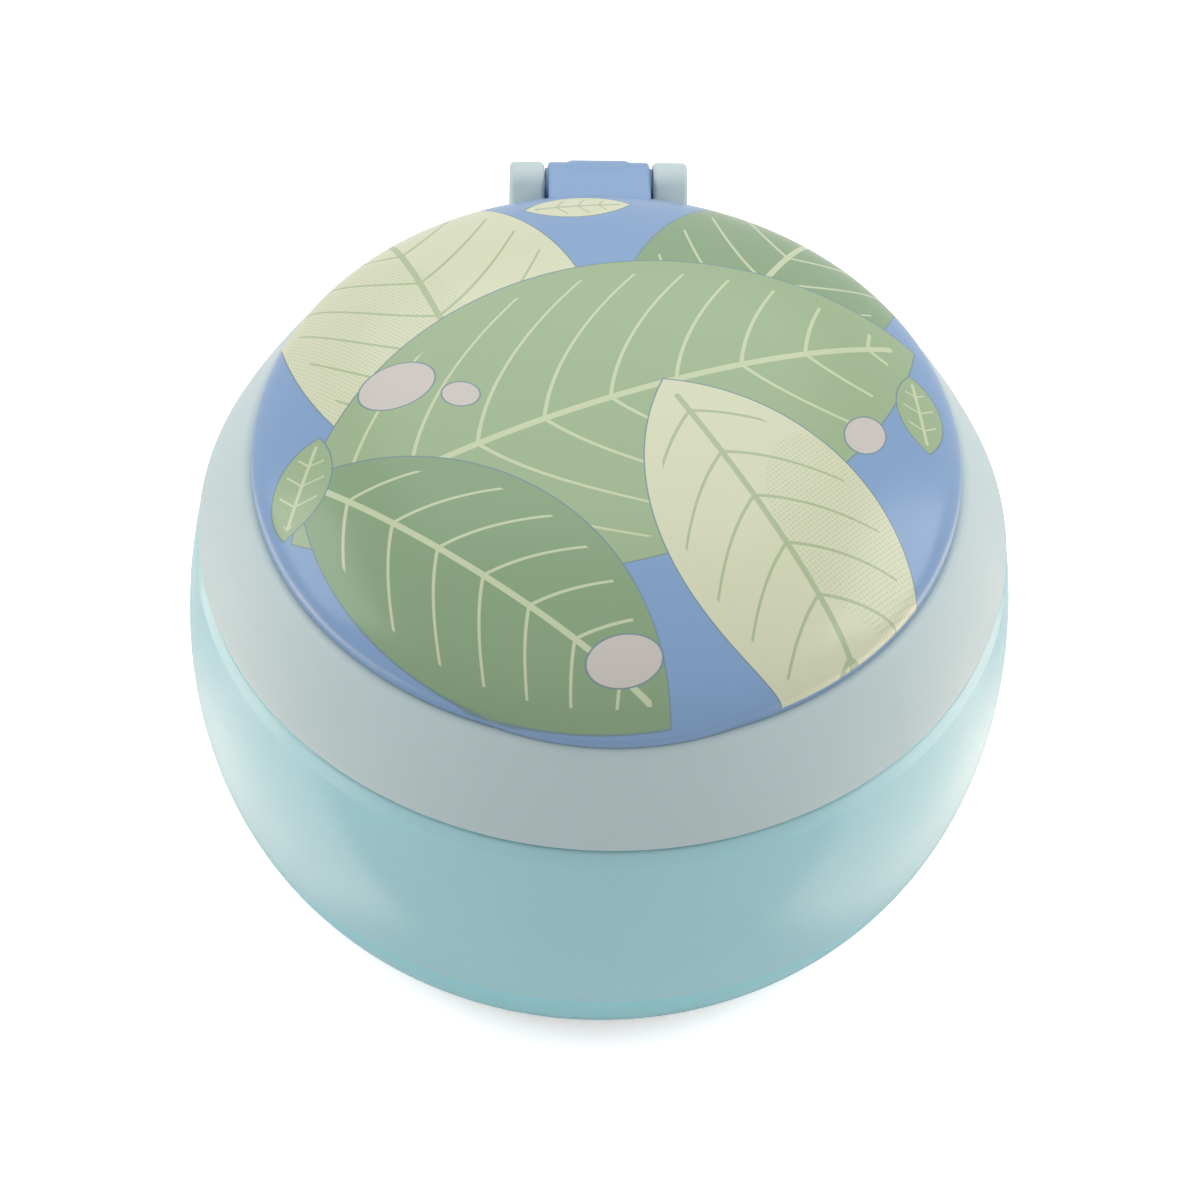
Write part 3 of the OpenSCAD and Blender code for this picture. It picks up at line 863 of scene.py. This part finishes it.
# motifs of the print, in millimetres from the lid's middle, the lowest first
# leaves: ink, vein ink, x, y, length, width, turn in degrees, pitch of the veins
LEAVES = [(CREAM, CREAM_VEIN, -20, 14, 68, 36, 108, 7.2), (DEEP_SAGE, SAGE_VEIN, 19, 21, 58, 30, 62, 7.0),
          (SAGE, SAGE_VEIN, 0, -1, 80, 45, 22, 8.4), (DEEP_SAGE, SAGE_VEIN, -15, -25, 54, 25, -38, 6.6),
          (CREAM, CREAM_VEIN, 20, -20, 52, 27, -58, 6.8), (SAGE, SAGE_VEIN, -36, -9, 13, 6.5, 72, 2.6),
          (SAGE, SAGE_VEIN, 37, 3, 12, 5.5, 98, 2.6), (CREAM, CREAM_VEIN, -3, 36, 13, 6, 6, 2.6)]
# pebbles: x, y, half width, half height, turn in degrees
PEBBLES = [(-25, 3, 4.6, 3.4, 20), (-17.5, 0.5, 2.3, 1.8, -25),
           (1, -35.5, 4.4, 2.8, 10), (30, -3, 3.0, 2.3, 60)]


class Print:
    """Flat motifs seen from above the lid.

    A mask is over 0 inside a motif, and rises by 1 over the ink's soft edge.
    """

    def __init__(self, tree, place, ground):
        self.tree = tree
        self.place = place
        self.colour = ground

    def math(self, operation, *values):
        """One step of arithmetic on masks and numbers."""
        return add(self.tree, "ShaderNodeMath", dict(enumerate(values)), operation=operation).outputs[0]

    def local(self, x, y, turn, scale_x=1.0, scale_y=1.0):
        """Places measured from (x, y) along turned axes, in millimetres or in the scales given."""
        return add(self.tree, "ShaderNodeMapping", {
            "Vector": self.place, "Location": (x * MM, y * MM, 0), "Rotation": (0, 0, math.radians(turn)),
            "Scale": (scale_x * MM, scale_y * MM, FLATTEN)}, vector_type="TEXTURE").outputs[0]

    def oval(self, x, y, half_w, half_h, turn=0.0):
        """An ellipse about (x, y)."""
        place = self.local(x, y, turn, half_w, half_h)
        length = add(self.tree, "ShaderNodeVectorMath", {0: place}, operation="LENGTH")
        steep = min(half_w, half_h) / INK_SOFT
        return self.math("MULTIPLY_ADD", length.outputs["Value"], -steep, steep)

    def grown(self, mask, distance):
        """A mask whose motif reaches further by a distance."""
        return self.math("ADD", mask, distance / INK_SOFT)

    def common(self, mask, other):
        """What two masks share."""
        return self.math("MINIMUM", mask, other)

    def leaf(self, x, y, length, width, turn):
        """A pointed leaf: what two equal circles share."""
        half, side = length / 2, width / 2
        r = (half ** 2 + side ** 2) / (2 * side)
        t = math.radians(turn)
        shift = Vector((-math.sin(t), math.cos(t))) * (r - side)
        upper = self.oval(x + shift.x, y + shift.y, r, r)
        return self.common(upper, self.oval(x - shift.x, y - shift.y, r, r))

    def veins(self, x, y, turn, pitch, thick):
        """A midrib, and side veins a pitch apart that bend towards the tip; thick is half a vein."""
        split = add(self.tree, "ShaderNodeSeparateXYZ", {0: self.local(x, y, turn)})
        off = self.math("ABSOLUTE", split.outputs["Y"])
        bend = self.math("MULTIPLY", off, self.math("MULTIPLY_ADD", off, VEIN_BEND, VEIN_SLANT))
        away = self.math("PINGPONG", self.math("SUBTRACT", split.outputs["X"], bend), pitch / 2)
        sides = self.math("MULTIPLY_ADD", away, -1 / INK_SOFT, thick / INK_SOFT)
        midrib = self.math("MULTIPLY_ADD", off, -1 / INK_SOFT, MIDRIB * thick / INK_SOFT)
        return self.math("MAXIMUM", sides, midrib)

    def screen(self, pitch, dot):
        """A regular screen of fine dots, as printed tints have."""
        place = self.local(0, 0, turn=45, scale_x=pitch, scale_y=pitch)
        cells = add(self.tree, "ShaderNodeTexVoronoi", {"Vector": place, "Scale": 1.0, "Randomness": 0.0},
                    voronoi_dimensions="2D")
        return self.math("MULTIPLY_ADD", cells.outputs["Distance"], -pitch / INK_SOFT, dot / INK_SOFT)

    def lay(self, mask, colour):
        """Prints a colour where the mask is over 0."""
        mix = add(self.tree, "ShaderNodeMix", {"Factor": mask, 7: colour}, data_type="RGBA")
        self.tree.links.new(self.colour, mix.inputs[6])
        self.colour = mix.outputs[2]

    def motif(self, mask, colour):
        """Prints a motif inside the thin dark line where its ink overlaps what is under it."""
        self.lay(self.grown(mask, OUTLINE), INK_EDGE)
        self.lay(mask, colour)


def print_film():
    """The lid's print: big leaves and pebbles in flat colours on the lid's blue."""
    material, tree, shader = new_material("print_film")
    place = object_place(tree)
    cloud = moulded_finish(tree, shader, place, roughness=0.235, spread=0.03, grain=400)
    art = Print(tree, place, tinted(tree, cloud, LID_COLOUR, 0.02))
    for ink, vein_ink, x, y, length, width, turn, pitch in LEAVES:
        leaf = art.leaf(x, y, length, width, turn)
        art.motif(leaf, ink)
        if ink is CREAM:
            dots = art.screen(SCREEN_PITCH, SCREEN_DOT)
            shade = art.oval(x * SHADE_PLACE[0], y * SHADE_PLACE[1], length * SHADE_LENGTH,
                             width * SHADE_WIDTH, turn)
            art.lay(art.common(art.common(dots, shade), leaf), CREAM_SHADE)
        inner = art.grown(leaf, -VEIN_CLEAR * pitch)
        veins = art.veins(x, y, turn, pitch, VEIN_HALF + VEIN_GROWTH * pitch)
        art.lay(art.common(inner, veins), vein_ink)
    for x, y, half_w, half_h, turn in PEBBLES:
        art.motif(art.oval(x, y, half_w, half_h, turn), BEIGE)
    tree.links.new(art.colour, shader.inputs["Base Color"])
    shader.inputs["IOR"].default_value = PLASTIC_IOR
    return material


# ---------------------------------------------------------------- the object

def dress(obj, material, body, slot, *nodes):
    """Gives a piece its material and body, and lets it stand for the nodes named."""
    obj.data.materials.clear()
    obj.data.materials.append(material)
    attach(obj, body)
    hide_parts(*nodes)


def dress_flap(name, material):
    """Makes a flap, gives it its material, and lets it stand for the node named."""
    number = int(name.split("_")[1])
    flap = make_flap(number)
    flap.data.materials.append(material)
    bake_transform(flap)
    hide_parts(name)


dress(make_cup(), bowl_plastic(), "cup", "bowl_plastic", "cup")
dress(make_collar(), collar_plastic(), "collar", "collar_plastic", "collar")
dress(make_lid(), lid_plastic(), "lid", "lid_plastic", "lid")
dress(make_film(), print_film(), "lid", "print_film", "lid_film")
dress(make_pin(), pin_steel(), "collar", "pin_steel", "hinge_pin")
soft = soft_plastic()
dress(make_soft_ring(), soft, "soft_ring", "soft_flaps", "flap_ring")
for name in FLAPS:
    dress_flap(name, soft)


# ---------------------------------------------------------------- floor, light and camera

# the floor's colour to the light and to the camera, and its glow: to the camera, which lightens the
# shadow, through the bowl, and in gloss, where the cards are
FLOOR_COLOUR = (0.85, 0.85, 0.85, 1)
SEEN_COLOUR = (1.7, 1.7, 1.7, 1)
SHADOW_WHITE = 0.3
SHADOW_COLOUR = (1.0, 0.45, 0.3, 1)
THROUGH_WHITE = 0.6
FLOOR_GLOSS = 0.05
CARD_COLOUR = (1.0, 0.74, 0.54, 1)
CARD_GLOW = 1.05
FAR_GLOW = 2.1
WHITE = (1, 1, 1, 1)
WORLD_LIGHT = 0.54
FLOOR_HALF = 1.5
LAMP_AIM = Vector((0, 0, 0.04))

# the cards' soft edges in metres, each from where the card starts to where it is whole; the near
# cards' front edge has a slope
NEAR_SLOPE = 0.086
NEAR_FRONT = (-0.0585, -0.0535)
NEAR_BACK = (0.022, -0.012)
NEAR_OUT = (0.042, 0.066)
NEAR_ASIDE = (0.030, 0.046)
FAR_INNER = (0.095, 0.115)
FAR_OUTER = (0.26, 0.20)
FAR_FRONT = (-0.17, -0.10)
FAR_BACK = (0.08, 0.03)


def soft_window(tree, glow, *edges):
    """Fades a glow in along each edge: a value, and where it starts and is whole."""
    for value, (start, whole) in edges:
        edge = add(tree, "ShaderNodeMapRange", {"Value": value, "From Min": start, "From Max": whole},
                   interpolation_type="SMOOTHSTEP")
        glow = add(tree, "ShaderNodeMath", {0: edge.outputs[0], 1: glow}, operation="MULTIPLY").outputs[0]
    return glow


def card_glow(tree):
    """How bright the floor looks in gloss: soft-edged cards left and right of the cup, near and far."""
    place = object_place(tree)
    split = add(tree, "ShaderNodeSeparateXYZ", {0: place})
    x, y = split.outputs["X"], split.outputs["Y"]
    away = add(tree, "ShaderNodeVectorMath", {0: place}, operation="LENGTH").outputs["Value"]
    aside = add(tree, "ShaderNodeMath", {0: x}, operation="ABSOLUTE").outputs[0]
    front = add(tree, "ShaderNodeMath", {0: x, 1: NEAR_SLOPE, 2: y}, operation="MULTIPLY_ADD").outputs[0]
    near = soft_window(tree, CARD_GLOW, (front, NEAR_FRONT), (y, NEAR_BACK), (away, NEAR_OUT),
                       (aside, NEAR_ASIDE))
    far = soft_window(tree, FAR_GLOW, (aside, FAR_INNER), (aside, FAR_OUTER), (y, FAR_FRONT),
                      (y, FAR_BACK))
    return add(tree, "ShaderNodeMath", {0: near, 1: far}, operation="ADD").outputs[0]


def floor_shader(tree):
    """A matt floor, white to the camera and through the bowl, with the cards where gloss looks at it."""
    path = add(tree, "ShaderNodeLightPath")
    colour = add(tree, "ShaderNodeMix", {
        "Factor": path.outputs["Is Camera Ray"], 6: FLOOR_COLOUR, 7: SEEN_COLOUR}, data_type="RGBA")
    shader_out = add(tree, "ShaderNodeBsdfDiffuse", {"Color": colour.outputs[2]}).outputs[0]
    gloss = add(tree, "ShaderNodeMath", {0: card_glow(tree), 1: FLOOR_GLOSS}, operation="ADD").outputs[0]
    for ray, glow, strength in (("Is Camera Ray", SHADOW_COLOUR, SHADOW_WHITE),
                                ("Is Transmission Ray", WHITE, THROUGH_WHITE),
                                ("Is Glossy Ray", CARD_COLOUR, gloss)):
        seen = add(tree, "ShaderNodeMath", {0: path.outputs[ray], 1: strength}, operation="MULTIPLY")
        light = add(tree, "ShaderNodeEmission", {"Color": glow, "Strength": seen.outputs[0]})
        shader_out = add(tree, "ShaderNodeAddShader", {0: shader_out, 1: light.outputs[0]}).outputs[0]
    return shader_out


def make_floor():
    corners = [(x * FLOOR_HALF, y * FLOOR_HALF, 0) for x, y in ((-1, -1), (1, -1), (1, 1), (-1, 1))]
    mesh = bpy.data.meshes.new("floor")
    mesh.from_pydata(corners, [], [(0, 1, 2, 3)])
    floor = bpy.data.objects.new("floor", mesh)
    bpy.context.scene.collection.objects.link(floor)
    material = bpy.data.materials.new("floor_white")
    material.use_nodes = True
    tree = material.node_tree
    tree.nodes.clear()
    out = add(tree, "ShaderNodeOutputMaterial")
    tree.links.new(floor_shader(tree), out.inputs["Surface"])
    floor.data.materials.append(material)


def make_world():
    """White to the camera, in gloss and through the bowl; its light on everything else is weaker."""
    world = bpy.data.worlds.new("studio")
    bpy.context.scene.world = world
    world.use_nodes = True
    tree = world.node_tree
    tree.nodes.clear()
    path = add(tree, "ShaderNodeLightPath")
    seen = path.outputs["Is Camera Ray"]
    for other in ("Is Glossy Ray", "Is Transmission Ray"):
        either = add(tree, "ShaderNodeMath", {0: seen, 1: path.outputs[other]}, operation="MAXIMUM")
        seen = either.outputs[0]
    strength = add(tree, "ShaderNodeMapRange", {"Value": seen, "To Min": WORLD_LIGHT, "To Max": 1.0})
    back = add(tree, "ShaderNodeBackground", {"Color": WHITE, "Strength": strength.outputs[0]})
    out = add(tree, "ShaderNodeOutputWorld")
    tree.links.new(back.outputs[0], out.inputs["Surface"])


def softbox(name, place, size, power):
    """A large flat lamp that faces the cup: metres and watts."""
    lamp = bpy.data.lights.new(name, "AREA")
    lamp.shape = "RECTANGLE"
    lamp.size, lamp.size_y = size
    lamp.energy = power
    obj = bpy.data.objects.new(name, lamp)
    obj.location = place
    obj.rotation_euler = (LAMP_AIM - Vector(place)).to_track_quat("-Z", "Y").to_euler()
    bpy.context.scene.collection.objects.link(obj)


def make_camera():
    """The photograph's view, fitted to the cup's outline: metres, degrees, and pixels of the picture."""
    distance, azimuth, elevation, roll = 0.7, -3.6, 52.0, 3.1
    focal_px, frame_px, sensor = 5521, 1200, 36.0
    foot_px = (590.6, 760.3)
    a, e = math.radians(azimuth), math.radians(elevation)
    back = Vector((math.sin(a) * math.cos(e), -math.cos(a) * math.cos(e), math.sin(e)))
    level = Vector((math.cos(a), math.sin(a), 0))
    upright = back.cross(level)
    t = math.radians(roll)
    right = level * math.cos(t) + upright * math.sin(t)
    up = back.cross(right)
    square = Matrix((right, up, back)).transposed()
    to_foot = Vector(((foot_px[0] - frame_px / 2) / focal_px, (frame_px / 2 - foot_px[1]) / focal_px, -1))
    aim = to_foot.rotation_difference(Vector((0, 0, -1))).to_matrix()
    data = bpy.data.cameras.new("camera")
    data.sensor_width = sensor
    data.lens = focal_px / frame_px * sensor
    camera = bpy.data.objects.new("camera", data)
    camera.matrix_world = Matrix.Translation(back * distance) @ (square @ aim).to_4x4()
    data.clip_start, data.clip_end = 0.01, 10
    bpy.context.scene.collection.objects.link(camera)
    bpy.context.scene.camera = camera


make_floor()
make_world()
softbox("top_light", place=(0.0, 0.65, 0.8), size=(0.9, 0.9), power=2.4)
softbox("left_light", place=(-0.9, 0.15, 0.55), size=(0.7, 0.7), power=3.5)
softbox("right_light", place=(0.9, 0.15, 0.55), size=(0.7, 0.7), power=3.9)
make_camera()
bpy.context.scene.view_settings.view_transform = "Standard"
